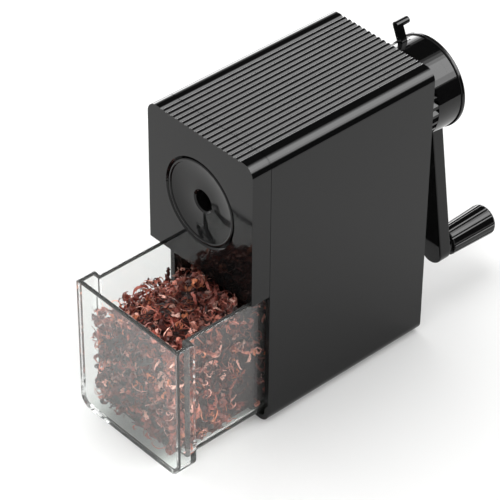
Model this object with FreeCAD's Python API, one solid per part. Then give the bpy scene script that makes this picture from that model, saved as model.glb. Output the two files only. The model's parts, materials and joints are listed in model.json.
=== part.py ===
import FreeCAD, Part
import math
import os
from FreeCAD import Vector, Rotation, Placement

# Desk pencil sharpener with a hand crank and a pull-out shavings drawer.
# Millimetres. +X right, +Y back (the pencil goes in along +Y), +Z up. The origin is on the surface
# that the sharpener stands on, below the middle of the body.

# ---- driving dimensions: body ----
BODY_WIDTH = 58.0
BODY_DEPTH = 92.6
BODY_HEIGHT = 128.8
CORNER_RADIUS = 5.0
WALL = 2.2
TOP_WALL = 3.0
PAD_PROUD = 0.4
BEZEL_DEPTH = 9.2
BEZEL_BOTTOM = 64.8
GROOVES = 17
RIB_PITCH = 2.67
RIB_DEPTH = 0.7
FIT_GAP = 0.1

# ---- driving dimensions: drawer ----
DRAWER_OPEN = 36.85
DRAWER_LENGTH = 80.0
DRAWER_TOP = 62.5
DRAWER_FRONT_LENGTH = 9.0
DRAWER_STEP = 3.2
DRAWER_WALL = 2.0
DRAWER_BIN_BOTTOM = 3.5

# ---- driving dimensions: pencil entry and mechanism ----
AXIS_HEIGHT = 97.0
DISH_RADIUS = 18.1
DISH_DEPTH = 1.4
PENCIL_HOLE_RADIUS = 4.3
NOSE_RADIUS = 6.5
CUTTER_TILT = 11.0
CUTTER_RADIUS = 6.0
CUTTER_TEETH = 12
RING_TEETH = 36
PINION_TEETH = 12
RING_PITCH_RADIUS = 18.0
GEAR_STATION = 25.0
AXLE_RADIUS = 1.25
SHAFT_RADIUS = 4.0
STOP_PIN_RADIUS = 1.5
DRIVE_PIN_RADIUS = 1.0
RUN_GAP = 0.05

# ---- driving dimensions: crank ----
DRUM_RADIUS = 19.4
DRUM_WALL = 2.4
HUB_RADIUS = 16.2
RIM_RADIUS = 20.0
CRANK_REACH = 77.8
CRANK_ANGLE = 8.4
ARM_WIDTH = 11.8
ARM_THICKNESS = 6.0
ARM_SKIN = 1.6
GRIP_TEETH = 34
HANDLE_LENGTH = 25.7
HANDLE_NEAR_RADIUS = 6.0
HANDLE_FAR_RADIUS = 6.8
HANDLE_RIBS = 12
LEVER_ANGLE = 23.5
LEVER_TRAVEL = 45.0
STOP_TRAVEL = 1.5

# ---- stations along the crank axis, measured back from the front face ----
NOSE_FRONT = 8.4
CARRIER_FRONT = 17.0
CUTTER_FRONT = 29.5
CUTTER_REAR = 55.5
CARRIER_REAR = 58.0
SHAFT_FRONT = 62.5
COLLAR_FRONT = 84.5
GRIP_FRONT = 93.0
HUB_FRONT = 97.2
GRIP_REAR = 106.3
DRUM_FRONT = 106.5
DRIVE_PIN_STATION = 101.8
SHAFT_REAR = 104.0
SELECTOR_FRONT = 108.0
FLANGE_FRONT = 115.0
FLANGE_REAR = 120.6

# ---- worked out from the above ----
FRONT_Y = -BODY_DEPTH / 2
SEAM_Y = FRONT_Y + BEZEL_DEPTH
SEAM_GAP = 0.2
REAR_Y = BODY_DEPTH / 2
SIDE = BODY_WIDTH / 2
DRAWER_FRONT_Y = FRONT_Y - DRAWER_OPEN
TILT = math.radians(CUTTER_TILT)
TOOTH_RATIO = RING_TEETH / PINION_TEETH
RING_CONE = math.atan(TOOTH_RATIO * math.sin(TILT) / (TOOTH_RATIO * math.cos(TILT) - 1))
PINION_CONE = RING_CONE - TILT
APEX_STATION = GEAR_STATION + RING_PITCH_RADIUS / math.tan(RING_CONE)
PINION_APEX_DISTANCE = (APEX_STATION - GEAR_STATION) / math.cos(RING_CONE) * math.cos(PINION_CONE)
PINION_PITCH_RADIUS = PINION_APEX_DISTANCE * math.tan(PINION_CONE)
SLIDER_FRONT = SELECTOR_FRONT + 1.5
DRUM_BORE = DRUM_RADIUS - DRUM_WALL
UP = Vector(0, 0, 1)
BACK = Vector(0, 1, 0)


# ---- helpers ----
def block(x0, x1, y0, y1, z0, z1):
    return Part.makeBox(x1 - x0, y1 - y0, z1 - z0, Vector(x0, y0, z0))


def rod(radius, y0, y1, x=0.0, z=AXIS_HEIGHT):
    """A cylinder along Y, on the crank axis unless x and z say otherwise."""
    return Part.makeCylinder(radius, y1 - y0, Vector(x, y0, z), BACK)


def disc(radius, front, back):
    """A cylinder on the crank axis between two stations."""
    return rod(radius, FRONT_Y + front, FRONT_Y + back)


def ring(outer, inner, front, back):
    return disc(outer, front, back).cut(disc(inner, front - 1, back + 1))


def cone(radius_front, radius_back, front, back):
    start = Vector(0, FRONT_Y + front, AXIS_HEIGHT)
    return Part.makeCone(radius_front, radius_back, back - front, start, BACK)


def direction(angle):
    """Unit vector across the crank axis. The angle is in degrees from up, towards -X."""
    turn = math.radians(angle)
    return Vector(-math.sin(turn), 0, math.cos(turn))


def around(angle, radius, station):
    return Vector(0, FRONT_Y + station, AXIS_HEIGHT) + direction(angle) * radius


def radial_pin(radius, angle, inner, outer, station):
    return Part.makeCylinder(radius, outer - inner, around(angle, inner, station), direction(angle))


def turned(shape, angle):
    """A copy turned about the crank axis, by the angle that direction() uses."""
    copy = shape.copy()
    copy.rotate(Vector(0, 0, AXIS_HEIGHT), BACK, -angle)
    return copy


def sector(outer, inner, front, back, start, end):
    """Part of a ring between two angles less than 180 degrees apart."""
    middle = (start + end) / 2
    half = math.radians((end - start) / 2)
    far = 2 * outer / math.cos(half)
    tip = Vector(0, FRONT_Y + front - 1, AXIS_HEIGHT)
    rays = [tip + direction(angle) * far for angle in (start, middle, end)]
    corners = [tip] + rays + [tip]
    wedge = Part.Face(Part.makePolygon(corners)).extrude(BACK * (back - front + 2))
    return ring(outer, inner, front, back).common(wedge)


def rounded_outline(x0, x1, z0, z1, radius, y, round_top=True):
    """A rounded rectangle in the XZ plane. With round_top False its two top corners are square."""
    def corner(x, z, start):
        return Part.makeCircle(radius, Vector(x, y, z), Vector(0, -1, 0), start, start + 90)
    left, right, low, high = x0 + radius, x1 - radius, z0 + radius, z1 - radius
    top = high if round_top else z1
    edges = [Part.makeLine(Vector(left, y, z0), Vector(right, y, z0)), corner(right, low, 270)]
    edges.append(Part.makeLine(Vector(x1, y, low), Vector(x1, y, top)))
    if round_top:
        edges.append(corner(right, high, 0))
        edges.append(Part.makeLine(Vector(right, y, z1), Vector(left, y, z1)))
        edges.append(corner(left, high, 90))
    else:
        edges.append(Part.makeLine(Vector(x1, y, z1), Vector(x0, y, z1)))
    edges.append(Part.makeLine(Vector(x0, y, top), Vector(x0, y, low)))
    edges.append(corner(left, low, 180))
    return Part.Wire(Part.__sortEdges__(edges))


def rounded_bar(x0, x1, z0, z1, radius, y0, y1, round_top=True):
    outline = rounded_outline(x0, x1, z0, z1, radius, y0, round_top)
    return Part.Face(outline).extrude(BACK * (y1 - y0))


def on_cutter_axis(shape):
    """Moves a shape made on +Z with z = 0 at the apex, pointing away from it, to the tilted cutter axis."""
    away = Vector(0, -math.cos(TILT), math.sin(TILT))
    copy = shape.copy()
    copy.Placement = Placement(Vector(0, FRONT_Y + APEX_STATION, AXIS_HEIGHT), Rotation(UP, away))
    return copy


def cutter_distance(station):
    """Distance from the apex along the cutter axis for a station."""
    return (APEX_STATION - station) / math.cos(TILT)


# ---- body ----
def crest_arc(crest, start, end, y):
    """Part of a rounded rib on the top face. crest is its middle, start and end are offsets in X from it."""
    half = RIB_PITCH / 2
    radius = (half ** 2 + RIB_DEPTH ** 2) / (2 * RIB_DEPTH)
    points = []
    for offset in (start, (start + end) / 2, end):
        height = BODY_HEIGHT - radius + math.sqrt(radius ** 2 - offset ** 2)
        points.append(Vector(crest + offset, y, height))
    return Part.Arc(*points).toShape()


def ribbed_outline(y, bottom):
    """Outline of the body across the axis, with rounded ribs between sharp grooves along the top."""
    half = RIB_PITCH / 2
    last_crest = GROOVES * half
    edges = [crest_arc(-last_crest, 0, half, y), crest_arc(last_crest, -half, 0, y)]
    for index in range(1, GROOVES):
        edges.append(crest_arc(-last_crest + index * RIB_PITCH, -half, half, y))
    top_left, top_right = -SIDE + CORNER_RADIUS, SIDE - CORNER_RADIUS
    high = BODY_HEIGHT - CORNER_RADIUS
    edges.append(Part.makeLine(Vector(last_crest, y, BODY_HEIGHT), Vector(top_right, y, BODY_HEIGHT)))
    edges.append(Part.makeLine(Vector(top_left, y, BODY_HEIGHT), Vector(-last_crest, y, BODY_HEIGHT)))
    outward = Vector(0, -1, 0)
    edges.append(Part.makeCircle(CORNER_RADIUS, Vector(top_right, y, high), outward, 0, 90))
    edges.append(Part.makeCircle(CORNER_RADIUS, Vector(top_left, y, high), outward, 90, 180))
    if bottom > BODY_HEIGHT / 2:
        edges.append(Part.makeLine(Vector(-SIDE, y, bottom), Vector(SIDE, y, bottom)))
        low = bottom
    else:
        low = bottom + CORNER_RADIUS
        edges.append(Part.makeLine(Vector(top_left, y, bottom), Vector(top_right, y, bottom)))
        edges.append(Part.makeCircle(CORNER_RADIUS, Vector(top_right, y, low), outward, 270, 360))
        edges.append(Part.makeCircle(CORNER_RADIUS, Vector(top_left, y, low), outward, 180, 270))
    edges.append(Part.makeLine(Vector(SIDE, y, low), Vector(SIDE, y, high)))
    edges.append(Part.makeLine(Vector(-SIDE, y, high), Vector(-SIDE, y, low)))
    return Part.Wire(Part.__sortEdges__(edges))


def ribbed_bar(y0, y1, bottom):
    return Part.Face(ribbed_outline(y0, bottom)).extrude(BACK * (y1 - y0))


REAR_WALL = 2.4
LEDGE_TOP = 65.0
SHELL_HOLE_RADIUS = 17.3
PAD_HALF_WIDTH = 22.0
PAD_HALF_LENGTH = 35.0
PAD_RECESS = 0.75
PAD_CORNER = 4.0
FRAME_SCREW_X = 21.0
FRAME_SCREW_Z = (73.0, 119.5)
BEZEL_SCREW_X = 21.5
BEZEL_SCREW_Z = (73.0, 119.0)


def make_shell():
    """Sleeve with a floor and a rear wall, open at the front."""
    body = ribbed_bar(SEAM_Y, REAR_Y, PAD_PROUD)
    inside = SIDE - WALL
    cavity_top = BODY_HEIGHT - TOP_WALL
    cavity_radius = CORNER_RADIUS - WALL
    cavity = rounded_bar(-inside, inside, PAD_PROUD + WALL, cavity_top, cavity_radius,
                         SEAM_Y - 1, REAR_Y - REAR_WALL)
    body = body.cut(cavity)
    body = body.cut(rod(SHELL_HOLE_RADIUS, REAR_Y - REAR_WALL - 1, REAR_Y + 1))
    additions = []
    for side in (-1, 1):
        ledge_x = sorted((side * (inside + 0.5), side * (inside - 1.6)))
        additions.append(block(*ledge_x, SEAM_Y + 1, REAR_Y - REAR_WALL, LEDGE_TOP - 1.6, LEDGE_TOP))
        rail_x = sorted((side * 17.4, side * 18.6))
        additions.append(block(*rail_x, SEAM_Y + 1, REAR_Y - REAR_WALL,
                               PAD_PROUD + 1.5, DRAWER_BIN_BOTTOM - 0.2))
    body = body.fuse(additions)
    body = body.cut(pad_block(FIT_GAP, PAD_PROUD - 1, PAD_PROUD + PAD_RECESS))
    for x in (-FRAME_SCREW_X, FRAME_SCREW_X):
        for z in FRAME_SCREW_Z:
            body = body.cut(rod(1.35, REAR_Y - REAR_WALL - 1, REAR_Y + 1, x, z))
            body = body.cut(rod(2.6, REAR_Y - 1.5, REAR_Y + 1, x, z))
    return body.removeSplitter()


def make_front_bezel():
    """Cap on the front above the drawer, with the round recess for the entry dish."""
    body = ribbed_bar(FRONT_Y, SEAM_Y - SEAM_GAP, BEZEL_BOTTOM)
    front_wall = 3.0
    inside = SIDE - WALL
    cavity = rounded_bar(-inside, inside, BEZEL_BOTTOM + WALL, BODY_HEIGHT - TOP_WALL, CORNER_RADIUS - WALL,
                         FRONT_Y + front_wall, SEAM_Y + 1)
    body = body.cut(cavity)
    bosses = []
    for x in (-BEZEL_SCREW_X, BEZEL_SCREW_X):
        for z in BEZEL_SCREW_Z:
            boss = rod(3.2, FRONT_Y + front_wall - 0.5, FRONT_Y + 21.8, x, z)
            bosses.append(boss.cut(rod(1.2, FRONT_Y + 12, FRONT_Y + 22, x, z)))
    body = body.fuse(bosses)
    body = body.cut(disc(DISH_RADIUS + 0.5, -1, front_wall + 1))
    body = body.cut(cone(DISH_RADIUS + 1.1, DISH_RADIUS + 0.5, -0.01, 0.6))
    return body.removeSplitter()


def make_entry_dish():
    """Concave disc with a raised rim and the pencil hole, on a boss that holds the front bush."""
    y = FRONT_Y
    z = AXIS_HEIGHT

    def at(radius, depth):
        return Vector(radius, y + depth, z)
    rim_inner = at(DISH_RADIUS - 1.3, 0.7)
    rim_outer = at(DISH_RADIUS, 0.7)
    lip = at(PENCIL_HOLE_RADIUS + 0.8, DISH_DEPTH + 0.1)
    hole_edge = at(PENCIL_HOLE_RADIUS, DISH_DEPTH + 0.6)
    hole_end = at(PENCIL_HOLE_RADIUS, 8.0)
    edges = [
        Part.makeLine(at(DISH_RADIUS, 4.0), rim_outer),
        Part.Arc(rim_outer, at(DISH_RADIUS - 0.6, 0.1), rim_inner).toShape(),
        Part.Arc(rim_inner, at(11.5, DISH_DEPTH + 0.05), lip).toShape(),
        Part.makeLine(lip, hole_edge),
        Part.makeLine(hole_edge, hole_end),
        Part.makeLine(hole_end, at(8.6, 8.0)),
        Part.makeLine(at(8.6, 8.0), at(8.6, 14.0)),
        Part.makeLine(at(8.6, 14.0), at(11.0, 14.0)),
        Part.makeLine(at(11.0, 14.0), at(11.0, 4.0)),
        Part.makeLine(at(11.0, 4.0), at(DISH_RADIUS, 4.0)),
    ]
    outline = Part.Wire(Part.__sortEdges__(edges))
    dish = Part.Face(outline).revolve(Vector(0, y, z), BACK, 360)
    flange = ring(19.6, DISH_RADIUS - 0.5, 3.2, 4.4)
    return dish.fuse(flange).removeSplitter()


def make_front_bush():
    return ring(8.57, NOSE_RADIUS + RUN_GAP, 8.2, 13.9)


def make_inner_frame():
    """Deck over the drawer with the shavings chute, front bulkhead and rear plate, in one moulding."""
    inside = SIDE - WALL - 0.2
    deck_top = LEDGE_TOP + 2.1
    body = block(-inside, inside, SEAM_Y + 0.2, REAR_Y - REAR_WALL - 0.2, LEDGE_TOP + 0.1, deck_top)
    body = body.cut(block(-17, 17, FRONT_Y + 27.5, FRONT_Y + 74, LEDGE_TOP - 1, deck_top + 1))
    high = BODY_HEIGHT - TOP_WALL - 0.2
    plates = []
    for front, back in ((22, 25), (86.5, 90)):
        plates.append(rounded_bar(-inside, inside, LEDGE_TOP + 0.1, high, CORNER_RADIUS - WALL,
                                  FRONT_Y + front, FRONT_Y + back))
    for side in (-1, 1):
        wall_x = sorted((side * inside, side * (inside - 1.6)))
        plates.append(block(*wall_x, FRONT_Y + 24, FRONT_Y + 88, deck_top - 1, 78))
    body = body.fuse(plates)
    body = body.cut(disc(21.1, 21, 26))
    body = body.cut(disc(SHELL_HOLE_RADIUS, 85, 91))
    for start in (10, 130, 250):
        body = body.cut(sector(19.4, 10, 86, 91, start, start + 40))
    for x in (-FRAME_SCREW_X, FRAME_SCREW_X):
        for z in FRAME_SCREW_Z:
            body = body.fuse(rod(2.8, FRONT_Y + 80, FRONT_Y + 88, x, z))
            body = body.cut(rod(1.2, FRONT_Y + 79, FRONT_Y + 91, x, z))
    for x in (-BEZEL_SCREW_X, BEZEL_SCREW_X):
        for z in BEZEL_SCREW_Z:
            body = body.cut(rod(1.35, FRONT_Y + 21, FRONT_Y + 26, x, z))
    return body.removeSplitter()


def pad_block(gap, z0, z1):
    """Rounded block for the pad under the body. gap widens it all round."""
    half_width = PAD_HALF_WIDTH + gap
    half_length = PAD_HALF_LENGTH + gap
    pad = block(-half_width, half_width, -half_length, half_length, z0, z1)
    return pad.makeFillet(PAD_CORNER + gap, vertical_edges(pad))


def vertical_edges(shape):
    return [edge for edge in shape.Edges if edge.BoundBox.XLength < 0.01 and edge.BoundBox.YLength < 0.01]


def make_base_pad():
    """One non-slip pad let into the floor of the shell."""
    return pad_block(0, 0, PAD_PROUD + PAD_RECESS - 0.05)


def screw(head_radius, head_length, shank_radius, shank_length, head_end, pointing, recess=1.5):
    """Pan-head screw. head_end is the outside of its head and pointing the way it is driven."""
    head = Part.makeCylinder(head_radius, head_length, head_end, pointing)
    head = head.makeFillet(head_length * 0.4, [outer_edge(head, head_end)])
    shank = Part.makeCylinder(shank_radius, shank_length, head_end + pointing * head_length, pointing)
    return head.fuse(shank).cut(cross_recess(head_end, pointing, recess, head_length * 0.6)).removeSplitter()


def outer_edge(head, centre):
    """The round edge of a disc whose centre is at the given point."""
    for edge in head.Edges:
        if edge.isClosed() and edge.Curve.Center.distanceToPoint(centre) < 0.001:
            return edge
    return head.Edges[0]


def cross_recess(centre, pointing, size, depth):
    slots = []
    for width, height in ((size, 0.5), (0.5, size)):
        slot = Part.makeBox(width, height, depth + 0.2, Vector(-width / 2, -height / 2, -0.2))
        slot.Placement = Placement(centre, Rotation(UP, pointing))
        slots.append(slot)
    return slots[0].fuse(slots[1])


def make_bezel_screws():
    screws = []
    for x in (-BEZEL_SCREW_X, BEZEL_SCREW_X):
        for z in BEZEL_SCREW_Z:
            screws.append(screw(2.4, 1.6, 1.15, 9.5, Vector(x, FRONT_Y + 26.6, z), Vector(0, -1, 0)))
    return Part.makeCompound(screws)


def make_frame_screws():
    screws = []
    for x in (-FRAME_SCREW_X, FRAME_SCREW_X):
        for z in FRAME_SCREW_Z:
            screws.append(screw(2.4, 1.4, 1.15, 9.0, Vector(x, REAR_Y - 0.1, z), Vector(0, -1, 0)))
    return Part.makeCompound(screws)


# ---- drawer ----
def make_drawer():
    """Clear drawer: a wide front section that closes flush with the body, and a narrower bin behind."""
    y = DRAWER_FRONT_Y
    side = SIDE - DRAWER_STEP
    front_back = y + DRAWER_FRONT_LENGTH
    back = y + DRAWER_LENGTH
    wall = DRAWER_WALL
    over = DRAWER_TOP + 5
    front_radius = CORNER_RADIUS
    bin_radius = CORNER_RADIUS - 1.5
    front = rounded_bar(-SIDE, SIDE, PAD_PROUD, DRAWER_TOP, front_radius, y, front_back, False)
    rear = rounded_bar(-side, side, DRAWER_BIN_BOTTOM, DRAWER_TOP, bin_radius, front_back - 0.5, back, False)
    body = front.fuse(rear).removeSplitter()
    front_side = SIDE - wall
    front_hollow = rounded_bar(-front_side, front_side, PAD_PROUD + wall, over, front_radius - wall,
                               y + wall, front_back - wall, False)
    bin_side = side - wall
    rear_hollow = rounded_bar(-bin_side, bin_side, DRAWER_BIN_BOTTOM + wall, over, bin_radius - 1,
                              y + wall + 1, back - wall, False)
    body = body.cut(front_hollow).cut(rear_hollow).removeSplitter()
    rims = [edge for edge in body.Edges if edge.BoundBox.ZMin > DRAWER_TOP - 0.01]
    return body.makeFillet(0.6, rims)


# ---- gears and cutter ----
def toothed_outline(teeth, pitch, tip, root, share, height, phase=0.0):
    """Straight-flanked teeth in the XY plane. share is the tooth's part of the circular pitch."""
    points = []
    step = 2 * math.pi / teeth
    slope = math.tan(math.radians(20)) / pitch
    for index in range(teeth):
        middle = index * step + phase
        half_pitch = share * step / 2
        half_root = half_pitch + slope * abs(pitch - root)
        half_tip = half_pitch - slope * abs(tip - pitch)
        for radius, angle in ((root, -half_root), (tip, -half_tip), (tip, half_tip), (root, half_root)):
            turn = middle + angle
            points.append(Vector(radius * math.cos(turn), radius * math.sin(turn), height))
    return Part.makePolygon(points + points[:1])


def tapered_teeth(teeth, pitch, tip, root, share, apex_distance, near, far, phase):
    """A toothed solid on +Z whose size grows with its distance from the apex at z = 0."""
    wires = []
    for distance in (near, far):
        scale = distance / apex_distance
        wires.append(toothed_outline(teeth, pitch * scale, tip * scale, root * scale, share, distance, phase))
    return Part.makeLoft(wires, True, True)


def on_crank_axis(shape):
    """Moves a shape made on +Z with z = 0 at the apex to the crank axis, pointing to the front."""
    copy = shape.copy()
    copy.Placement = Placement(Vector(0, FRONT_Y + APEX_STATION, AXIS_HEIGHT), Rotation(UP, -BACK))
    return copy


MODULE = 2 * RING_PITCH_RADIUS / RING_TEETH
ADDENDUM = 0.65 * MODULE
DEDENDUM = 0.95 * MODULE
TOOTH_SHARE = 0.42


def make_ring_gear():
    """Internal gear in the front bulkhead. The pinion's teeth enter the spaces cut by this outline."""
    body = ring(21.0, 12.0, 22.2, 28.0)
    distance = APEX_STATION - GEAR_STATION
    tip = RING_PITCH_RADIUS + DEDENDUM
    root = RING_PITCH_RADIUS - ADDENDUM
    space = tapered_teeth(RING_TEETH, RING_PITCH_RADIUS, tip, root, 1 - TOOTH_SHARE, distance,
                          APEX_STATION - 28.5, APEX_STATION - 21.5, math.pi / 2)
    return body.cut(on_crank_axis(space))


def make_pinion():
    teeth = tapered_teeth(PINION_TEETH, PINION_PITCH_RADIUS, PINION_PITCH_RADIUS + ADDENDUM,
                          PINION_PITCH_RADIUS - DEDENDUM, TOOTH_SHARE, PINION_APEX_DISTANCE,
                          PINION_APEX_DISTANCE - 2.2, PINION_APEX_DISTANCE + 2.2, math.pi / 2)
    bore = Part.makeCylinder(2.62, 20, Vector(0, 0, PINION_APEX_DISTANCE - 10))
    return on_cutter_axis(teeth.cut(bore))


def make_cutter():
    """Helical milling cutter on a neck that carries the pinion."""
    near = cutter_distance(CUTTER_REAR)
    far = cutter_distance(CUTTER_FRONT)
    twist = math.radians(70)
    sections = []
    for index in range(6):
        share = index / 5
        height = near + (far - near) * share
        sections.append(cutter_section(height, twist * share))
    body = Part.makeLoft(sections, True, False)
    neck = Part.makeCylinder(2.6, PINION_APEX_DISTANCE + 2.8 - far + 1, Vector(0, 0, far - 1))
    bore = Part.makeCylinder(AXLE_RADIUS + RUN_GAP, 80, Vector(0, 0, near - 5))
    return on_cutter_axis(body.fuse(neck).cut(bore))


def cutter_section(height, phase):
    points = []
    step = 2 * math.pi / CUTTER_TEETH
    for index in range(CUTTER_TEETH):
        start = index * step + phase
        for radius, part in ((CUTTER_RADIUS, 0.0), (CUTTER_RADIUS, 0.18), (CUTTER_RADIUS - 1.1, 0.34)):
            turn = start + part * step
            points.append(Vector(radius * math.cos(turn), radius * math.sin(turn), height))
    return Part.makePolygon(points + points[:1])


def make_cutter_axle():
    near = cutter_distance(CARRIER_REAR + 2.4)
    far = cutter_distance(CARRIER_FRONT + 0.6)
    return on_cutter_axis(Part.makeCylinder(AXLE_RADIUS, far - near, Vector(0, 0, near)))


def make_carrier():
    """Rotating cage: nose tube, front plate, half-round web, rear plate and shaft socket."""
    web_outer = 15.2
    body = ring(NOSE_RADIUS, 4.6, NOSE_FRONT, CARRIER_FRONT + 1)
    web = ring(web_outer, web_outer - 2.4, CARRIER_FRONT + 1, CARRIER_REAR + 1)
    web = web.common(block(-20, 20, FRONT_Y, REAR_Y, AXIS_HEIGHT - 20, AXIS_HEIGHT))
    body = body.fuse([
        ring(16.6, 4.6, CARRIER_FRONT, CARRIER_FRONT + 2.5),
        web,
        disc(web_outer, CARRIER_REAR, SHAFT_FRONT),
        disc(8.0, SHAFT_FRONT - 0.5, SHAFT_FRONT + 9.5),
    ])
    body = body.cut(disc(STOP_PIN_RADIUS + 0.3, CARRIER_REAR - 1, SHAFT_FRONT + 1))
    body = body.cut(disc(SHAFT_RADIUS + 0.02, SHAFT_FRONT, SHAFT_FRONT + 11))
    near = cutter_distance(CARRIER_REAR + 2.6)
    far = cutter_distance(CARRIER_FRONT - 3)
    axle_hole = Part.makeCylinder(AXLE_RADIUS + 0.02, far - near, Vector(0, 0, near))
    return body.cut(on_cutter_axis(axle_hole)).removeSplitter()


# ---- rear bearing and twist-lock collar ----
def sawtooth_bar(teeth, outer, inner, front, back):
    points = []
    for index in range(teeth):
        start = 360.0 * index / teeth
        points.append(around(start, inner, front))
        points.append(around(start + 360.0 / teeth * 0.25, outer, front))
        points.append(around(start + 360.0 / teeth * 0.6, outer, front))
    wire = Part.makePolygon(points + points[:1])
    return Part.Face(wire).extrude(BACK * (back - front))


def make_lock_collar():
    """Collar that locks the crank's bearing in the body, with finger ridges on its two sides."""
    spigot = 17.0
    body = sawtooth_bar(GRIP_TEETH, DRUM_RADIUS, DRUM_RADIUS - 1.2, GRIP_FRONT, GRIP_REAR)
    smooth_top = sector(DRUM_RADIUS, spigot, GRIP_FRONT, GRIP_REAR, -63, 63)
    smooth_bottom = sector(DRUM_RADIUS, spigot, GRIP_FRONT, GRIP_REAR, 140, 220)
    body = body.fuse([disc(spigot, COLLAR_FRONT, GRIP_FRONT + 1), smooth_top, smooth_bottom])
    body = body.cut(disc(spigot - WALL, COLLAR_FRONT - 1, 88.0))
    body = body.cut(disc(spigot - WALL, 91.6, HUB_FRONT))
    body = body.cut(disc(HUB_RADIUS + 0.2, HUB_FRONT - 0.5, GRIP_REAR + 1))
    lugs = []
    for start in (70, 190, 310):
        lugs.append(sector(18.9, spigot - 0.5, COLLAR_FRONT, COLLAR_FRONT + 1.8, start, start + 32))
    body = body.fuse(lugs)
    return body.cut(disc(7.53, COLLAR_FRONT - 1, GRIP_REAR + 1)).removeSplitter()


def make_rear_bush():
    body = disc(7.5, 84.5, 93.4).fuse(disc(9.5, 91.65, 93.4))
    return body.cut(disc(SHAFT_RADIUS + RUN_GAP, 80, 95)).removeSplitter()


def across_shaft(radius, length, station):
    """A cylinder along X through the crank axis."""
    start = Vector(-length / 2, FRONT_Y + station, AXIS_HEIGHT)
    return Part.makeCylinder(radius, length, start, Vector(1, 0, 0))


def make_drive_shaft():
    body = ring(SHAFT_RADIUS, STOP_PIN_RADIUS + RUN_GAP, SHAFT_FRONT, SHAFT_REAR)
    body = body.cut(ring(SHAFT_RADIUS + 1, SHAFT_RADIUS - 0.5, 83.2, 84.1))
    return body.cut(across_shaft(DRIVE_PIN_RADIUS + 0.02, 20, DRIVE_PIN_STATION))


def make_shaft_clip():
    clip = ring(6.0, SHAFT_RADIUS - 0.48, 83.25, 84.05)
    return clip.cut(sector(8.0, 0.5, 83, 84.5, 160, 200))


# ---- crank ----
SLIDER_PIN_ANGLES = (130, 210, 300)
CRANK_SCREW_ANGLES = (100, 250, 350)
SLIDER_PIN_RADIUS = 0.8
SLOT_HALF_WIDTH = 6.0


def make_crank_drum():
    """Cup that turns with the shaft, on a hub inside the collar. A slot in its wall lets the lever out."""
    body = disc(DRUM_RADIUS, DRUM_FRONT, FLANGE_FRONT).fuse(disc(HUB_RADIUS, HUB_FRONT, DRUM_FRONT + 1))
    body = body.cut(ring(HUB_RADIUS - 2.2, 9.0, HUB_FRONT + 2.5, FLANGE_FRONT + 1))
    body = body.cut(disc(9.5, SHAFT_REAR + 0.4, FLANGE_FRONT + 1))
    body = body.cut(disc(DRUM_BORE, SELECTOR_FRONT - 0.3, FLANGE_FRONT + 1))
    body = body.cut(disc(SHAFT_RADIUS + 0.02, HUB_FRONT - 1, SHAFT_REAR + 1))
    slot_start = LEVER_ANGLE - SLOT_HALF_WIDTH
    slot_end = LEVER_ANGLE + LEVER_TRAVEL + SLOT_HALF_WIDTH
    body = body.cut(sector(DRUM_RADIUS + 2, DRUM_BORE - 1, 110.2, FLANGE_FRONT + 1, slot_start, slot_end))
    for angle in SLIDER_PIN_ANGLES:
        for station in (SLIDER_FRONT - STOP_TRAVEL, SLIDER_FRONT):
            body = body.cut(radial_pin(SLIDER_PIN_RADIUS + 0.2, angle, 15, DRUM_BORE + 1.1, station + 1.5))
        slot = block(-1, 1, FRONT_Y + SLIDER_FRONT, FRONT_Y + FLANGE_FRONT + 1,
                     AXIS_HEIGHT + 15, AXIS_HEIGHT + DRUM_BORE + 1)
        body = body.cut(turned(slot, angle))
    for angle in CRANK_SCREW_ANGLES:
        centre = around(angle, DRUM_RADIUS - DRUM_WALL / 2, 0)
        body = body.cut(rod(0.72, FRONT_Y + 108.5, FRONT_Y + 116, centre.x, centre.z))
    return body.cut(across_shaft(DRIVE_PIN_RADIUS + 0.02, 20, DRIVE_PIN_STATION)).removeSplitter()


def make_drive_pins():
    """Two half pins that key the drum to the hollow shaft, one each side of the stop pin."""
    whole = across_shaft(DRIVE_PIN_RADIUS, 17.4, DRIVE_PIN_STATION)
    return whole.cut(disc(STOP_PIN_RADIUS + 0.3, DRIVE_PIN_STATION - 3, DRIVE_PIN_STATION + 3))


def make_crank_arm():
    """Flange that closes the drum, and the flat arm."""
    body = disc(DRUM_RADIUS, FLANGE_FRONT + 0.02, FLANGE_REAR)
    rim = disc(RIM_RADIUS, FLANGE_REAR - 1.9, FLANGE_REAR)
    body = body.fuse(rim.makeFillet(0.6, [edge for edge in rim.Edges if edge.isClosed()]))
    front = FRONT_Y + FLANGE_FRONT + 0.02
    rear = FRONT_Y + FLANGE_FRONT + ARM_THICKNESS
    half = ARM_WIDTH / 2
    tip_height = AXIS_HEIGHT - CRANK_REACH
    arm = block(-half, half, front, rear, tip_height, AXIS_HEIGHT)
    arm = arm.fuse(rod(half, front, rear, 0, tip_height))
    arm = arm.fuse(rod(half, front, rear)).removeSplitter()
    arm = arm.cut(rod(2.02, front + ARM_SKIN, rear + 1, 0, tip_height))
    long_edges = [edge for edge in arm.Edges if edge.BoundBox.YLength < 0.01 and edge.Length > 15]
    arm = arm.makeFillet(0.6, long_edges)
    body = body.fuse(turned(arm, CRANK_ANGLE))
    for angle in CRANK_SCREW_ANGLES:
        centre = around(angle, DRUM_RADIUS - DRUM_WALL / 2, 0)
        flange_rear = FRONT_Y + FLANGE_REAR
        body = body.cut(rod(0.85, front - 1, flange_rear + 1, centre.x, centre.z))
        body = body.cut(rod(1.7, flange_rear - 1.6, flange_rear + 1, centre.x, centre.z))
    body = body.cut(disc(12.0, FLANGE_REAR - 0.8, FLANGE_REAR + 3).cut(arm_shadow()))
    return body.removeSplitter()


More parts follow.
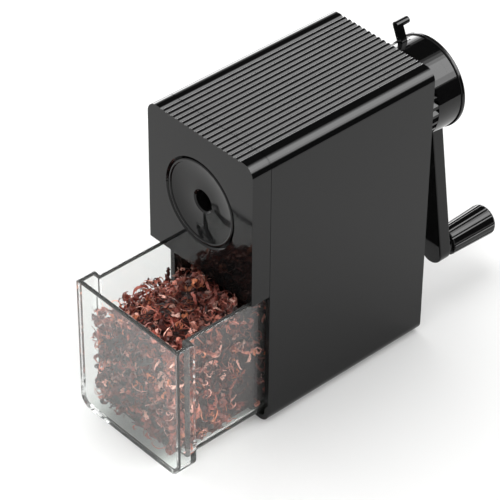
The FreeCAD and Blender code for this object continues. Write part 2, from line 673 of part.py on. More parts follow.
def arm_shadow():
    """The strip of the flange that the arm crosses."""
    half = ARM_WIDTH / 2 + 1
    rear = FRONT_Y + FLANGE_REAR + 5
    strip = block(-half, half, FRONT_Y + FLANGE_FRONT, rear, AXIS_HEIGHT - 40, AXIS_HEIGHT)
    return turned(strip.fuse(disc(half, FLANGE_FRONT, FLANGE_REAR + 5)), CRANK_ANGLE)


def make_crank_screws():
    screws = []
    for angle in CRANK_SCREW_ANGLES:
        head = around(angle, DRUM_RADIUS - DRUM_WALL / 2, FLANGE_REAR - 0.3)
        screws.append(screw(1.55, 1.0, 0.7, 9.5, head, Vector(0, -1, 0), 1.2))
    return Part.makeCompound(screws)


# ---- handle ----
HANDLE_FRONT = FLANGE_FRONT + ARM_THICKNESS + 0.5
HANDLE_REAR = HANDLE_FRONT + HANDLE_LENGTH
HANDLE_BORE = 2.25
HANDLE_CENTRE = around(180 + CRANK_ANGLE, CRANK_REACH, 0)


def handle_rod(radius, front, back):
    return rod(radius, FRONT_Y + front, FRONT_Y + back, HANDLE_CENTRE.x, HANDLE_CENTRE.z)


def make_handle_grip():
    """Tapered grip with shallow ribs and a rounded far end, on a short neck."""
    centre = HANDLE_CENTRE
    neck = 2.0

    def at(radius, station):
        return Vector(centre.x + radius, FRONT_Y + station, centre.z)
    start = HANDLE_FRONT + neck
    nose = 1.6
    edges = [
        Part.makeLine(at(0, HANDLE_FRONT), at(HANDLE_NEAR_RADIUS - 1.3, HANDLE_FRONT)),
        Part.makeLine(at(HANDLE_NEAR_RADIUS - 1.3, HANDLE_FRONT), at(HANDLE_NEAR_RADIUS - 1.3, start)),
        Part.makeLine(at(HANDLE_NEAR_RADIUS - 1.3, start), at(HANDLE_NEAR_RADIUS - 0.3, start)),
        Part.makeLine(at(HANDLE_NEAR_RADIUS - 0.3, start), at(HANDLE_NEAR_RADIUS, start + 0.4)),
        Part.makeLine(at(HANDLE_NEAR_RADIUS, start + 0.4), at(HANDLE_FAR_RADIUS, HANDLE_REAR - nose)),
        Part.Arc(at(HANDLE_FAR_RADIUS, HANDLE_REAR - nose), at(HANDLE_FAR_RADIUS - 0.5, HANDLE_REAR - 0.45),
                 at(HANDLE_FAR_RADIUS - nose, HANDLE_REAR)).toShape(),
        Part.makeLine(at(HANDLE_FAR_RADIUS - nose, HANDLE_REAR), at(0, HANDLE_REAR)),
        Part.makeLine(at(0, HANDLE_REAR), at(0, HANDLE_FRONT)),
    ]
    outline = Part.Wire(Part.__sortEdges__(edges))
    grip = Part.Face(outline).revolve(Vector(centre.x, 0, centre.z), BACK, 360)
    groove_radius = 1.1
    grooves = []
    for index in range(HANDLE_RIBS):
        turn = 2 * math.pi * (index + 0.5) / HANDLE_RIBS
        near = HANDLE_NEAR_RADIUS + groove_radius - 0.35
        far = HANDLE_FAR_RADIUS + groove_radius - 0.35
        outward = Vector(math.cos(turn), 0, math.sin(turn))
        base = centre + outward * near + BACK * (start - 1)
        tip = centre + outward * far + BACK * (HANDLE_REAR - 1.2)
        run = tip - base
        groove = Part.makeCylinder(groove_radius, run.Length, base, run)
        grooves.append(groove.fuse(Part.makeSphere(groove_radius, tip)))
    grip = grip.cut(grooves)
    grip = grip.cut(handle_rod(HANDLE_BORE, HANDLE_FRONT - 1, HANDLE_REAR - 6))
    return grip.cut(handle_rod(3.6, HANDLE_REAR - 6.2, HANDLE_REAR + 1)).removeSplitter()


def make_handle_pin():
    """Steel pin pressed in the arm from behind, with a head inside the grip's end."""
    body = handle_rod(2.0, FLANGE_FRONT + ARM_SKIN + 0.1, HANDLE_FRONT)
    body = body.fuse(handle_rod(HANDLE_BORE - RUN_GAP, HANDLE_FRONT - 0.4, HANDLE_REAR - 5.8))
    return body.fuse(handle_rod(3.3, HANDLE_REAR - 6.0, HANDLE_REAR - 4.2)).removeSplitter()


def make_handle_cap():
    cap = handle_rod(3.57, HANDLE_REAR - 2.6, HANDLE_REAR + 0.3)
    return cap.makeFillet(0.25, [edge for edge in cap.Edges if edge.BoundBox.YMin > FRONT_Y + HANDLE_REAR])


# ---- point-length selector ----
def make_selector_ring():
    body = ring(DRUM_BORE - 0.3, 12.0, SELECTOR_FRONT, FLANGE_FRONT - 0.3)
    steps = 16
    for angle in SLIDER_PIN_ANGLES:
        for index in range(-1, steps + 2):
            share = index / steps
            pin = radial_pin(SLIDER_PIN_RADIUS + 0.2, angle - LEVER_TRAVEL * share, 11, 18,
                             SLIDER_FRONT + 1.5 - STOP_TRAVEL * share)
            body = body.cut(pin)
    return body.removeSplitter()


def make_selector_lever():
    """Lever with a stub. Its foot sits on the selector ring and fills the drum's slot."""
    front = FRONT_Y + 110.8
    back = FRONT_Y + 113.6
    tip_height = AXIS_HEIGHT + DRUM_RADIUS + 7.2
    half = 1.5
    stub_length = 4.0
    foot_bottom = AXIS_HEIGHT + math.sqrt((DRUM_BORE - 0.3) ** 2 - half ** 2) - 0.5
    foot_top = AXIS_HEIGHT + DRUM_RADIUS - 0.1
    lever = block(-half, half, front, back, foot_bottom, tip_height)
    foot = block(-half, half, front, FRONT_Y + FLANGE_FRONT - 0.3, foot_bottom, foot_top)
    tip = rod(half, front, back, 0, tip_height)
    stub = rod(half, back - 0.5, back + stub_length, 0, tip_height)
    end_edges = [edge for edge in stub.Edges if edge.BoundBox.YMin > back + stub_length - 0.1]
    stub = stub.makeFillet(0.4, end_edges)
    lever = lever.fuse([foot, tip, stub]).cut(disc(DRUM_BORE - 0.3, 105, 120)).removeSplitter()
    return turned(lever, LEVER_ANGLE)


def make_stop_slider():
    body = ring(11.7, STOP_PIN_RADIUS + 0.02, SLIDER_FRONT, SLIDER_FRONT + 3.0)
    for angle in SLIDER_PIN_ANGLES:
        body = body.cut(radial_pin(SLIDER_PIN_RADIUS + 0.02, angle, 7.9, 13, SLIDER_FRONT + 1.5))
    return body


def make_slider_pins():
    pins = []
    for angle in SLIDER_PIN_ANGLES:
        pins.append(radial_pin(SLIDER_PIN_RADIUS, angle, 8.0, DRUM_BORE + 0.8, SLIDER_FRONT + 1.5))
    return Part.makeCompound(pins)


def make_stop_pin():
    body = disc(STOP_PIN_RADIUS, 57.6, SLIDER_FRONT + 3.4)
    return body.makeFillet(0.5, [edge for edge in body.Edges if edge.BoundBox.YMax < FRONT_Y + 58])


def make_return_spring():
    """Compression spring between the drum's hub and the slider. Its wire has eight sides."""
    wire = 0.38
    mean = 5.4
    start = SHAFT_REAR + 0.4 + wire + 0.05
    length = SLIDER_FRONT - wire - 0.05 - start
    helix = Part.makeHelix(length / 3, length, mean)
    corners = []
    for index in range(8):
        turn = math.radians(22.5 + 45 * index)
        corners.append(Vector(mean + wire * math.cos(turn), 0, wire * math.sin(turn)))
    profile = Part.makePolygon(corners + corners[:1])
    spring = Part.Wire(helix).makePipeShell([profile], True, True)
    spring.Placement = Placement(Vector(0, FRONT_Y + start, AXIS_HEIGHT), Rotation(UP, BACK))
    return spring


def main():
    pieces = {
        "shell": make_shell(),
        "front_bezel": make_front_bezel(),
        "entry_dish": make_entry_dish(),
        "front_bush": make_front_bush(),
        "inner_frame": make_inner_frame(),
        "ring_gear": make_ring_gear(),
        "lock_collar": make_lock_collar(),
        "rear_bush": make_rear_bush(),
        "bezel_screws": make_bezel_screws(),
        "frame_screws": make_frame_screws(),
        "base_pad": make_base_pad(),
        "drawer_bin": make_drawer(),
        "crank_drum": make_crank_drum(),
        "crank_arm": make_crank_arm(),
        "crank_screws": make_crank_screws(),
        "drive_shaft": make_drive_shaft(),
        "drive_pins": make_drive_pins(),
        "shaft_clip": make_shaft_clip(),
        "cutter_carrier": make_carrier(),
        "cutter_axle": make_cutter_axle(),
        "helical_cutter": make_cutter(),
        "cutter_pinion": make_pinion(),
        "handle_pin": make_handle_pin(),
        "handle_grip": make_handle_grip(),
        "handle_cap": make_handle_cap(),
        "selector_ring": make_selector_ring(),
        "selector_lever": make_selector_lever(),
        "stop_slider": make_stop_slider(),
        "slider_pins": make_slider_pins(),
        "stop_pin": make_stop_pin(),
        "return_spring": make_return_spring(),
    }
    os.makedirs("parts", exist_ok=True)
    for name, shape in pieces.items():
        shape.exportStep("parts/" + name + ".step")
        print(name, "solids", len(shape.Solids), "valid", shape.isValid(), "volume", round(shape.Volume, 1))


main()
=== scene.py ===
import json
import math

import bpy
import numpy as np
from mathutils import Euler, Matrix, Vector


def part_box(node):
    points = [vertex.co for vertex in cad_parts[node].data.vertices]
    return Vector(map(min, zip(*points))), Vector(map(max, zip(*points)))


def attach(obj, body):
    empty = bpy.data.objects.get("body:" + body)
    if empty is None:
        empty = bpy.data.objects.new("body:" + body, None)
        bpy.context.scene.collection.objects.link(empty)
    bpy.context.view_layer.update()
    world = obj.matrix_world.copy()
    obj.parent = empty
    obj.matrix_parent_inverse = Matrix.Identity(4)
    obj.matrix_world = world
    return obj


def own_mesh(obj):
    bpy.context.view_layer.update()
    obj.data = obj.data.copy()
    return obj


# Looks of the desk pencil sharpener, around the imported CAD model. Metres, in the row frame:
# +X right, +Y back to the crank, +Z up, origin on the floor below the middle of the body.

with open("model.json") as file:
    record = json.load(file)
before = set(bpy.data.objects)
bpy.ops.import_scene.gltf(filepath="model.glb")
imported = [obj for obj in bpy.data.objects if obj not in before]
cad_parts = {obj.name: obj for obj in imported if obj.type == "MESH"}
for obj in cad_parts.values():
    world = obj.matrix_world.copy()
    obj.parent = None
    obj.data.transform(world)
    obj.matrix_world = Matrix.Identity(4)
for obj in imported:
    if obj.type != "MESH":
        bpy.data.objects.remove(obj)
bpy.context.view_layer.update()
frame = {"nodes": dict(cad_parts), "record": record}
nodes = frame["nodes"]
MM = 0.001


# ---- node tree helpers ----
def new_material(name):
    """An empty material with its node tree and output node."""
    material = bpy.data.materials.new(name)
    material.use_nodes = True
    tree = material.node_tree
    tree.nodes.clear()
    output = tree.nodes.new("ShaderNodeOutputMaterial")
    return material, tree, output


def add(tree, kind, inputs=None, **properties):
    """A node with its properties set. inputs maps a socket's name or number to a value, or to a
    socket that is linked to it."""
    node = tree.nodes.new(kind)
    for key, value in properties.items():
        setattr(node, key, value)
    for key, value in (inputs or {}).items():
        if isinstance(value, bpy.types.NodeSocket):
            tree.links.new(value, node.inputs[key])
        else:
            node.inputs[key].default_value = value
    return node


def coordinates(tree):
    return add(tree, "ShaderNodeTexCoord").outputs["Object"]


def noise(tree, scale, detail=3.0, roughness=0.5):
    texture = add(tree, "ShaderNodeTexNoise", {
        "Vector": coordinates(tree), "Scale": scale, "Detail": detail, "Roughness": roughness})
    return texture.outputs["Fac"]


def ramp(tree, value, low, high, from_low=0.35, from_high=0.65):
    """The value between from_low and from_high, spread over low to high."""
    spread = add(tree, "ShaderNodeMapRange", {
        "Value": value, "From Min": from_low, "From Max": from_high, "To Min": low, "To Max": high})
    return spread.outputs["Result"]


def colours(tree, value, *stops):
    """A colour ramp. Each stop is (position, (r, g, b))."""
    node = add(tree, "ShaderNodeValToRGB", {"Fac": value})
    elements = node.color_ramp.elements
    while len(elements) < len(stops):
        elements.new(0.5)
    for element, (position, colour) in zip(elements, stops):
        element.position = position
        element.color = (*colour, 1.0)
    return node.outputs["Color"]


def bump(tree, height, strength, distance, normal=None):
    inputs = {"Height": height, "Strength": strength, "Distance": distance}
    if normal is not None:
        inputs["Normal"] = normal
    return add(tree, "ShaderNodeBump", inputs).outputs["Normal"]


def scratches(tree, scale, stretch, turn, width=0.02):
    """Fine parallel hairlines: 1 on a hairline and 0 elsewhere."""
    mapping = add(tree, "ShaderNodeMapping", {
        "Vector": coordinates(tree), "Rotation": turn, "Scale": stretch})
    wave = add(tree, "ShaderNodeTexNoise", {
        "Vector": mapping.outputs["Vector"], "Scale": scale, "Detail": 2.0}).outputs["Fac"]
    return ramp(tree, wave, 0.0, 1.0, 0.66, 0.66 + width)


# ---- materials ----
def gloss_black():
    """Polished black moulding: slight waviness, hairlines and a little dust."""
    material, tree, output = new_material("gloss_black")
    waves = noise(tree, 30.0, 1.0)
    grain = noise(tree, 900.0, 4.0)
    hair = scratches(tree, 60.0, (1.0, 14.0, 1.0), (0.2, 0.4, 0.9))
    specks = ramp(tree, noise(tree, 1500.0, 1.0), 0.0, 1.0, 0.74, 0.78)
    base = add(tree, "ShaderNodeMix", {0: specks}, data_type="RGBA")
    base.inputs[6].default_value = (0.0035, 0.0035, 0.0036, 1.0)
    base.inputs[7].default_value = (0.012, 0.012, 0.012, 1.0)
    worn = add(tree, "ShaderNodeMath", {
        0: ramp(tree, waves, 0.035, 0.075), 1: ramp(tree, hair, 0.0, 0.02, 0.0, 1.0)}, operation="ADD")
    normal = bump(tree, waves, 0.02, 0.0006)
    normal = bump(tree, grain, 0.03, 0.00002, normal)
    shader = add(tree, "ShaderNodeBsdfPrincipled", {
        "Base Color": base.outputs[2], "Roughness": worn.outputs[0], "IOR": 1.5, "Specular IOR Level": 0.24,
        "Normal": normal})
    tree.links.new(shader.outputs[0], output.inputs["Surface"])
    return material


def satin_black():
    """Fine satin moulding of the parts inside."""
    material, tree, output = new_material("satin_black")
    base = colours(tree, noise(tree, 240.0), (0.3, (0.012, 0.012, 0.012)), (0.7, (0.03, 0.03, 0.031)))
    normal = bump(tree, noise(tree, 2600.0, 2.0), 0.25, 0.00003)
    shader = add(tree, "ShaderNodeBsdfPrincipled", {
        "Base Color": base, "Roughness": ramp(tree, noise(tree, 90.0), 0.42, 0.58), "Normal": normal})
    tree.links.new(shader.outputs[0], output.inputs["Surface"])
    return material


def acetal():
    """Natural acetal of the ring gear."""
    material, tree, output = new_material("acetal")
    base = colours(tree, noise(tree, 120.0), (0.3, (0.66, 0.63, 0.56)), (0.7, (0.74, 0.71, 0.65)))
    normal = bump(tree, noise(tree, 1400.0, 2.0), 0.1, 0.00003)
    shader = add(tree, "ShaderNodeBsdfPrincipled", {
        "Base Color": base, "Roughness": ramp(tree, noise(tree, 60.0), 0.3, 0.42), "Normal": normal,
        "Subsurface Weight": 0.1, "Subsurface Radius": (0.002, 0.002, 0.0018)})
    tree.links.new(shader.outputs[0], output.inputs["Surface"])
    return material


def metal(name, dark, light, rough_low, rough_high, lines=(1.0, 1.0, 1.0), cast=0.0):
    """Turned, ground or cast metal, with machining lines stretched by lines."""
    material, tree, output = new_material(name)
    mapping = add(tree, "ShaderNodeMapping", {"Vector": coordinates(tree), "Scale": lines})
    grooves = add(tree, "ShaderNodeTexNoise", {
        "Vector": mapping.outputs["Vector"], "Scale": 420.0, "Detail": 3.0}).outputs["Fac"]
    stain = noise(tree, 70.0)
    normal = bump(tree, grooves, 0.2, 0.00004)
    if cast:
        normal = bump(tree, noise(tree, 1100.0, 4.0), cast, 0.00008, normal)
    shader = add(tree, "ShaderNodeBsdfPrincipled", {
        "Base Color": colours(tree, stain, (0.3, dark), (0.7, light)), "Metallic": 1.0,
        "Roughness": ramp(tree, grooves, rough_low, rough_high), "Normal": normal})
    tree.links.new(shader.outputs[0], output.inputs["Surface"])
    return material


def rubber():
    """Matt rubber of the base pad."""
    material, tree, output = new_material("rubber")
    base = colours(tree, noise(tree, 300.0), (0.3, (0.012, 0.012, 0.012)), (0.7, (0.028, 0.027, 0.026)))
    normal = bump(tree, noise(tree, 1800.0, 4.0), 0.5, 0.00006)
    shader = add(tree, "ShaderNodeBsdfPrincipled", {"Base Color": base, "Roughness": 0.8, "Normal": normal})
    tree.links.new(shader.outputs[0], output.inputs["Surface"])
    return material


def clear_plastic():
    """Clear styrene. Shadow rays pass straight through it, so that the bin isn't dark inside."""
    material, tree, output = new_material("clear_plastic")
    flow = add(tree, "ShaderNodeMapping", {"Vector": coordinates(tree), "Scale": (1.0, 1.0, 0.25)})
    ripple = add(tree, "ShaderNodeTexNoise", {
        "Vector": flow.outputs["Vector"], "Scale": 60.0, "Detail": 2.0}).outputs["Fac"]
    scuff = scratches(tree, 90.0, (1.0, 1.0, 9.0), (0.5, 0.2, 0.3), 0.03)
    rough = add(tree, "ShaderNodeMath", {
        0: ramp(tree, noise(tree, 140.0), 0.0, 0.02),
        1: ramp(tree, scuff, 0.0, 0.08, 0.0, 1.0)}, operation="ADD")
    shader = add(tree, "ShaderNodeBsdfPrincipled", {
        "Base Color": (0.94, 0.955, 0.945, 1.0), "Roughness": rough.outputs[0], "IOR": 1.4,
        "Transmission Weight": 0.975, "Normal": bump(tree, ripple, 0.006, 0.0004)})
    through = add(tree, "ShaderNodeBsdfTransparent", {"Color": (0.93, 0.95, 0.94, 1.0)})
    shadow = add(tree, "ShaderNodeLightPath").outputs["Is Shadow Ray"]
    mix = add(tree, "ShaderNodeMixShader", {0: shadow, 1: shader.outputs[0], 2: through.outputs[0]})
    tree.links.new(mix.outputs[0], output.inputs["Surface"])
    return material


def shaved_wood():
    """Coloured, waxy wood: each shaving has its own colour, with fine streaks. The per-point colour also
    carries painted light: lighter strips along the walls, darker ones on the heap, and a near-black painted
    shade in the core.
    """
    material, tree, output = new_material("shaved_wood")
    # each point's colour: the wood's own colour with painted light or shade on it
    own = add(tree, "ShaderNodeAttribute", attribute_name="colour_and_painted_light").outputs["Color"]
    streak = noise(tree, 1500.0, 4.0, 0.6)
    shade = colours(tree, streak,
                    (0.25, (0.4, 0.34, 0.32)), (0.5, (1.0, 1.0, 1.0)), (0.8, (1.8, 1.7, 1.65)))
    base = add(tree, "ShaderNodeMix", {0: 1.0, 6: own, 7: shade}, data_type="RGBA", blend_type="MULTIPLY")
    shader = add(tree, "ShaderNodeBsdfPrincipled", {
        "Base Color": base.outputs[2], "Roughness": ramp(tree, streak, 0.25, 0.5),
        "Specular IOR Level": 0.3, "Normal": bump(tree, streak, 0.5, 0.00008)})
    tree.links.new(shader.outputs[0], output.inputs["Surface"])
    return material


SLOT_MATERIALS = {
    "gloss_black": gloss_black(),
    "clear_drawer": clear_plastic(),
    "frame_plastic": satin_black(),
    "gear_plastic": acetal(),
    "steel": metal("steel", (0.42, 0.42, 0.42), (0.6, 0.6, 0.59), 0.2, 0.4, (1.0, 6.0, 1.0)),
    "cutter_steel": metal("cutter_steel", (0.26, 0.26, 0.27), (0.4, 0.4, 0.41), 0.22, 0.42,
                          (1.0, 3.0, 5.0)),
    "cast_carrier": metal("cast_carrier", (0.36, 0.36, 0.37), (0.48, 0.48, 0.49), 0.38, 0.55, cast=0.4),
    "bush_brass": metal("bush_brass", (0.5, 0.34, 0.14), (0.66, 0.47, 0.22), 0.3, 0.45, (1.0, 5.0, 1.0)),
    "pad_rubber": rubber(),
}
for part in frame["record"]["subparts"]:
    nodes[part["node"]].data.materials.clear()
    nodes[part["node"]].data.materials.append(SLOT_MATERIALS[part["material_slot"]])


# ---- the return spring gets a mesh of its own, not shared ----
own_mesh(nodes["return_spring"])


# ---- pencil shavings in the drawer ----
bin_low, bin_high = (np.array(corner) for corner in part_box("drawer_bin"))
shell_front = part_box("front_bezel")[0][1]
RIM = bin_high[2]
WALL = 2.0 * MM
STEP = 3.2 * MM  # the bin behind its front is narrower by this on each side
INSET = 0.25 * MM
X_LEFT = bin_low[0] + STEP + WALL + INSET
X_RIGHT = bin_high[0] - STEP - WALL - INSET
Y_FRONT = bin_low[1] + WALL + INSET
Y_REAR = bin_high[1] - WALL - INSET
Z_FLOOR = bin_low[2] + 4.6 * MM

# the heap's surface, measured from the rim
FRONT_DROP = 4.0 * MM
RISE_AT_BODY = 7.5 * MM
LEFT_FALL = 12.5 * MM
LUMP = 1.1 * MM
DROP_IN_BODY = 5.0 * MM

DEPTH = 4.0 * MM  # of the layer of strips along each wall
SECTIONS = 19  # of each strip
# painted light: the strips along the walls are painted lighter, and those sticking up from the heap darker,
# than the wood's own colour
WALL_PAINTED_LIGHT = 1.5
HEAP_PAINTED_SHADE = 0.85
# near-black painted shade for the heap's core, standing in for the shade deep between the strips
CORE_PAINTED_SHADE = (0.02, 0.006, 0.005, 1.0)
# a strip's own colour, and how often each comes up
TINTS = np.array([(0.12, 0.027, 0.02), (0.23, 0.062, 0.046), (0.37, 0.13, 0.095), (0.44, 0.15, 0.075),
                  (0.60, 0.34, 0.28), (0.05, 0.013, 0.011)])
TINT_SHARES = (0.26, 0.26, 0.18, 0.05, 0.12, 0.13)
rng = np.random.default_rng(7)


def smooth(value):
    """0 to 1 with a soft start and end."""
    value = np.clip(value, 0.0, 1.0)
    return value * value * (3 - 2 * value)


def heap_height(x, y):
    """Height of the heap's surface: highest against the body, lower to the left and to the front."""
    out = smooth((y - Y_FRONT) / (shell_front - Y_FRONT))
    fall = smooth((-x + 5 * MM) / (24 * MM)) * (0.75 + 0.6 * out)
    lumps = np.sin(x * 420 + 1.0) * np.sin(y * 510 + 0.4)
    height = RIM - FRONT_DROP + RISE_AT_BODY * out - LEFT_FALL * fall + LUMP * lumps
    under_body = smooth((y - shell_front + 2 * MM) / (6 * MM))
    return height * (1 - under_body) + np.minimum(height, RIM - DROP_IN_BODY) * under_body


def ribbon(centre, length, width, turns, drift):
    """A curled strip with ragged edges and a twist. drift pulls its curl out along the curl's axis.
    Gives its corners, four to a section."""
    axis = rng.normal(size=3)
    axis /= np.linalg.norm(axis)
    side = np.cross(axis, rng.normal(size=3))
    side /= np.linalg.norm(side)
    third = np.cross(axis, side)
    t = np.linspace(0, 1, SECTIONS)[:, None]
    angle = turns * 2 * math.pi * t ** rng.uniform(0.7, 1.8)
    along = np.cos(angle) * side + np.sin(angle) * third + drift * axis
    along /= np.linalg.norm(along, axis=1)[:, None]
    line = np.cumsum(along, axis=0) * (length / SECTIONS)
    outward = np.cross(along, axis)
    outward /= np.linalg.norm(outward, axis=1)[:, None] + 1e-12
    flat = np.cross(along, outward)
    lean = rng.uniform(-0.7, 0.7) + rng.normal() * 0.9 * t
    across = np.cos(lean) * flat + np.sin(lean) * outward
    normal = np.cross(across, along)
    taper = np.sin(math.pi * (0.02 + 0.96 * t)) ** 0.6
    edges = [taper * width / 2 * rng.uniform(0.35, 1.35, (SECTIONS, 1)) for _ in range(2)]
    half_thick = 0.04 * MM
    line = line - line.mean(axis=0) + centre
    one_edge, other_edge = line + across * edges[0], line - across * edges[1]
    skin = normal * half_thick
    corners = [one_edge + skin, one_edge - skin, other_edge - skin, other_edge + skin]
    return np.stack(corners, axis=1).reshape(-1, 3)


def ribbon_faces(start):
    """Faces of a strip whose first corner has the number start."""
    faces = [(start + 3, start + 2, start + 1, start)]
    for row in range(SECTIONS - 1):
        a = start + 4 * row
        for k in range(4):
            n = (k + 1) % 4
            faces.append((a + k, a + n, a + 4 + n, a + 4 + k))
    end = start + 4 * (SECTIONS - 1)
    faces.append((end, end + 1, end + 2, end + 3))
    return faces


def random_ribbon(centre):
    """A medium curl, a thin thread or a broad curl."""
    kind = rng.random()
    if kind < 0.5:
        return ribbon(centre, rng.uniform(6, 13) * MM, rng.uniform(0.9, 1.8) * MM, rng.uniform(0.5, 1.4),
                      rng.uniform(0.0, 0.5))
    if kind < 0.86:
        return ribbon(centre, rng.uniform(6, 13) * MM, rng.uniform(0.25, 0.6) * MM, rng.uniform(0.2, 1.0),
                      rng.uniform(0.0, 0.8))
    return ribbon(centre, rng.uniform(7, 12) * MM, rng.uniform(1.7, 2.6) * MM, rng.uniform(0.6, 1.2),
                  rng.uniform(0.1, 0.4))


def inside_bin(points):
    """Moves a strip back from the walls, and keeps it out of the body above the drawer."""
    gap = rng.uniform(0.0, 0.4) * MM
    low = np.array((X_LEFT, Y_FRONT, Z_FLOOR)) + gap
    high = np.array((X_RIGHT, Y_REAR, 1.0)) - gap
    points += np.maximum(low - points.min(axis=0), 0)
    points -= np.maximum(points.max(axis=0) - high, 0)
    behind = points[:, 1] > shell_front - 1.2 * MM
    points[:, 2] = np.where(behind, np.minimum(points[:, 2], RIM - 0.6 * MM), points[:, 2])
    return points


def scatter(count, place):
    """Strips at random places. place gives one centre."""
    return [inside_bin(random_ribbon(place())) for _ in range(count)]


def on_top(y_low, y_high):
    """Centres just under the heap's surface."""
    def place():
        x, y = rng.uniform(X_LEFT + 1 * MM, X_RIGHT - 0.5 * MM), rng.uniform(y_low, y_high)
        return np.array((x, y, heap_height(x, y) - abs(rng.normal()) * 1.6 * MM))
    return place


def at_wall(x_low, x_high, y_low, y_high):
    """Centres at any height of the heap, within a stretch of it."""
    def place():
        x, y = rng.uniform(x_low, x_high), rng.uniform(y_low, y_high)
        top = heap_height(x, y)
        return np.array((x, y, rng.uniform(Z_FLOOR + 0.5 * MM, top)))
    return place


def mesh_piece(name, points, faces, colour_and_painted_light):
    """An object of shaved wood, with a colour for each point: the wood's own colour with painted light or
    painted shade on it.
    """
    mesh = bpy.data.meshes.new(name)
    mesh.from_pydata(points, [], faces)
    layer = mesh.color_attributes.new("colour_and_painted_light", "FLOAT_COLOR", "POINT")
    layer.data.foreach_set("color", np.array(colour_and_painted_light, np.float32).ravel())
    mesh.materials.append(wood)
    mesh.update()
    piece = bpy.data.objects.new(name, mesh)
    bpy.context.scene.collection.objects.link(piece)
    return piece


def build_mesh(name, strips, painted_light_gain):
    """One object of many strips. Its gain scales each strip's colour as painted light: above 1 for the
    lighter painted strips along the walls, below 1 for the darker painted heap.
    """
    points = np.concatenate(strips)
    faces = []
    colour_and_painted_light = np.ones((len(points), 4), np.float32)
    start = 0
    for strip in strips:
        faces += ribbon_faces(start)
        own = TINTS[rng.choice(len(TINTS), p=TINT_SHARES)]
        # the strip's own colour with random tone, times the painted light gain
        colour_and_painted_light[start:start + len(strip), :3] = own * painted_light_gain * rng.uniform(0.5, 1.5)
        start += len(strip)
    return mesh_piece(name, points.tolist(), faces, colour_and_painted_light)


def core_lump():
    """The dense middle of the heap under the loose strips, painted near-black as the shade deep between
    them: a closed block with an uneven top.
    """
    across, deep = 24, 40
    inset = 3.4 * MM
    x_line = np.linspace(X_LEFT + inset, X_RIGHT - inset, across + 1)
    y_line = np.linspace(Y_FRONT + inset, Y_REAR - inset, deep + 1)
    bottom = Z_FLOOR + 0.8 * MM
    points, faces = [], []
    for y in y_line:
        for x in x_line:
            top = min(heap_height(x, y) - 3.6 * MM, RIM - 2.0 * MM) + rng.uniform(-0.8, 0.8) * MM
            points.append((x, y, top))
    row = across + 1
    layer = len(points)
    points += [(x, y, bottom) for x, y, _ in points]
    for j in range(deep):
        for i in range(across):
            a = j * row + i
            faces.append((a, a + 1, a + row + 1, a + row))
            faces.append((layer + a, layer + a + row, layer + a + row + 1, layer + a + 1))
    border = list(range(across)) + [j * row + across for j in range(deep)]
    border += [deep * row + i for i in range(across, 0, -1)] + [j * row for j in range(deep, 0, -1)]
    for a, b in zip(border, border[1:] + border[:1]):
        faces.append((a, layer + a, layer + b, b))
    return mesh_piece("shavings_core_painted_shade", points, faces, [CORE_PAINTED_SHADE] * len(points))


strips = scatter(430, on_top(Y_FRONT, shell_front - 1.0 * MM))
strips += scatter(130, on_top(shell_front, Y_REAR))
strips += scatter(460, at_wall(X_LEFT, X_RIGHT, Y_FRONT, Y_FRONT + DEPTH))
strips += scatter(420, at_wall(X_RIGHT - DEPTH, X_RIGHT, Y_FRONT, shell_front))
strips += scatter(230, at_wall(X_LEFT, X_LEFT + DEPTH, Y_FRONT, shell_front))
for x_wall in (X_LEFT, X_RIGHT - DEPTH):
    strips += scatter(120, at_wall(x_wall, x_wall + DEPTH, shell_front, Y_REAR))
strips += scatter(80, at_wall(X_LEFT, X_RIGHT, Y_REAR - DEPTH, Y_REAR))

wood = shaved_wood()
tall = RIM - 0.4 * MM
high = [strip for strip in strips if strip[:, 2].max() > tall]
low = [strip for strip in strips if strip[:, 2].max() <= tall]
front = [strip for strip in low if strip[:, 1].mean() < shell_front]
rear = [strip for strip in low if strip[:, 1].mean() >= shell_front]
left = [strip for strip in front if strip[:, 0].mean() < 0]
right = [strip for strip in front if strip[:, 0].mean() >= 0]
heap = build_mesh("shavings_heap", high, HEAP_PAINTED_SHADE)
loose = [build_mesh(name, group, WALL_PAINTED_LIGHT) for name, group in (
    ("shavings_left", left), ("shavings_right", right), ("shavings_in_body", rear))]
for piece in (*loose, heap, core_lump()):
    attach(piece, "drawer")
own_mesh(heap)


# ---- studio ----
CENTRE = np.array((0.0, 0.0, 0.09))
PANEL_LIFT = (8, 56)  # degrees towards +Y
PANEL_DISTANCE = 1.6
# strength, start and end in degrees: each softbox fades out in steps towards the flag between them
SOFTBOX_RIGHT = ((7.5, 22, 36), (10.5, 36, 72), (7.0, 72, 80), (3.0, 80, 88), (1.0, 88, 94))
SOFTBOX_LEFT = ((0.6, 145, 153), (2.4, 153, 160), (5.0, 160, 167), (7.2, 167, 205))


def stage_mesh(name, points, faces, material):
    """A surface of the studio, which isn't part of the model."""
    mesh = bpy.data.meshes.new(name)
    mesh.from_pydata([tuple(p) for p in points], [], faces)
    mesh.materials.append(material)
    piece = bpy.data.objects.new(name, mesh)
    bpy.context.scene.collection.objects.link(piece)
    return piece


def floor_material():
    material, tree, output = new_material("floor_white")
    base = colours(tree, noise(tree, 3.0), (0.3, (0.925, 0.925, 0.923)), (0.7, (0.94, 0.94, 0.937)))
    shader = add(tree, "ShaderNodeBsdfDiffuse", {"Color": base, "Roughness": 0.5})
    tree.links.new(shader.outputs[0], output.inputs["Surface"])
    return material


def glow(name, strength):
    material, tree, output = new_material(name)
    shader = add(tree, "ShaderNodeEmission", {"Color": (1.0, 1.0, 1.0, 1.0), "Strength": strength})
    tree.links.new(shader.outputs[0], output.inputs["Surface"])
    return material


def card(name, strength, points, faces=((0, 1, 2, 3),)):
    """A glowing surface, or a black one at strength 0, seen only in reflections."""
    piece = stage_mesh(name, points, faces, glow(name, strength))
    piece.visible_camera = False
    piece.visible_diffuse = False
    piece.visible_transmission = False
    piece.visible_volume_scatter = False
    piece.visible_shadow = False
    return piece


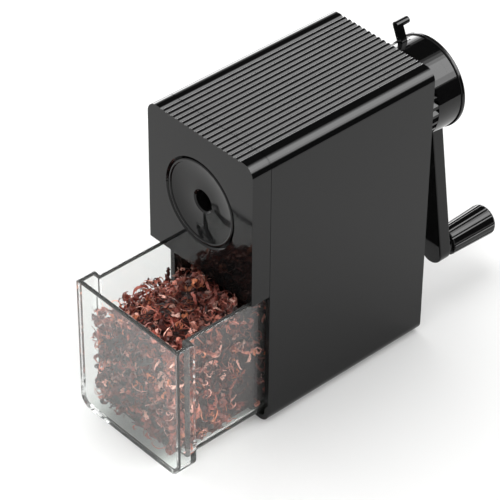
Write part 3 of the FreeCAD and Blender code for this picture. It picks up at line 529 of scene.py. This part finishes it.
def panel(name, strength, start, end):
    """A curved card around CENTRE, from start to end in degrees from +X round to +Z."""
    columns = 12
    points, faces = [], []
    for i in range(columns + 1):
        turn = math.radians(start + (end - start) * i / columns)
        for lift in PANEL_LIFT:
            rise = math.radians(lift)
            way = (math.cos(rise) * math.cos(turn), math.sin(rise), math.cos(rise) * math.sin(turn))
            points.append(CENTRE + PANEL_DISTANCE * np.array(way))
    for i in range(columns):
        faces.append((2 * i, 2 * i + 1, 2 * i + 3, 2 * i + 2))
    return card(name, strength, points, faces)


stage_mesh("floor", [(-6, -6, 0), (6, -6, 0), (6, 6, 0), (-6, 6, 0)], [(0, 1, 2, 3)], floor_material())
for strength, start, end in SOFTBOX_RIGHT:
    panel(f"softbox_right_{start}", strength, start, end)
for strength, start, end in SOFTBOX_LEFT:
    panel(f"softbox_left_{start}", strength, start, end)
panel("flag_back", 0.0, 94, 145)
card("card_right", 0.0, [(0.24, -0.05, 0.0), (0.24, 0.45, 0.0), (0.24, 0.45, 0.18), (0.24, -0.05, 0.18)])

world = bpy.data.worlds.new("studio")
bpy.context.scene.world = world
world.use_nodes = True
sky = world.node_tree.nodes["Background"]
sky.inputs["Color"].default_value = (1.0, 1.0, 0.995, 1.0)
sky.inputs["Strength"].default_value = 1.12

key_data = bpy.data.lights.new("key", "AREA")
key_data.shape = "DISK"
key_data.size = 1.1
key_data.energy = 6.0
key = bpy.data.objects.new("key", key_data)
key.location = (-0.55, 0.25, 1.25)
key.rotation_euler = Euler((math.radians(-12), math.radians(-24), 0))
key.visible_glossy = False
bpy.context.scene.collection.objects.link(key)

camera_data = bpy.data.cameras.new("camera")
camera_data.lens = 189.12
camera_data.sensor_width = 36.0
camera = bpy.data.objects.new("camera", camera_data)
camera.location = (0.58102, -0.55193, 0.6928)
camera.rotation_euler = Euler([math.radians(turn) for turn in (51.2567, -0.36693, 47.86609)], "XYZ")
bpy.context.scene.collection.objects.link(camera)
bpy.context.scene.camera = camera
bpy.context.scene.view_settings.view_transform = "Standard"
